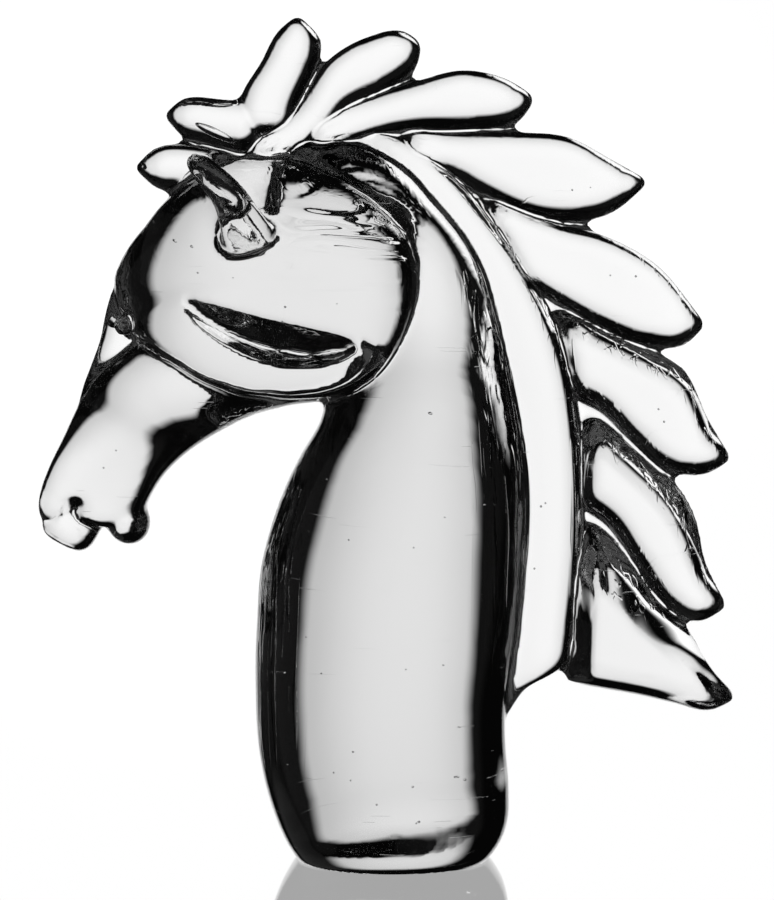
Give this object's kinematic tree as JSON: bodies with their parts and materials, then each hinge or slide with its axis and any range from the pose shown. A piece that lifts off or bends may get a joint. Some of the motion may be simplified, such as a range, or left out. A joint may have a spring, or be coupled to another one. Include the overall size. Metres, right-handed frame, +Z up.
{
  "type": "glass horse head sculpture",
  "caption": "Solid clear crystal horse head with a fanned mane of drawn locks, standing on its ground flat neck as an ornament.",
  "frame": {"origin": "on the ground flat underside of the neck, below the middle of the neck", "axes": "+Z up, -X the way the nose points, Y through the thickness"},
  "size_m": [0.2407, 0.0971, 0.2899],
  "materials": {
    "clear_crystal": "clear and fire polished, with a ground and polished foot"
  },
  "bodies": {
    "root": {"horse_head": "clear_crystal"}
  },
  "joints": []
}
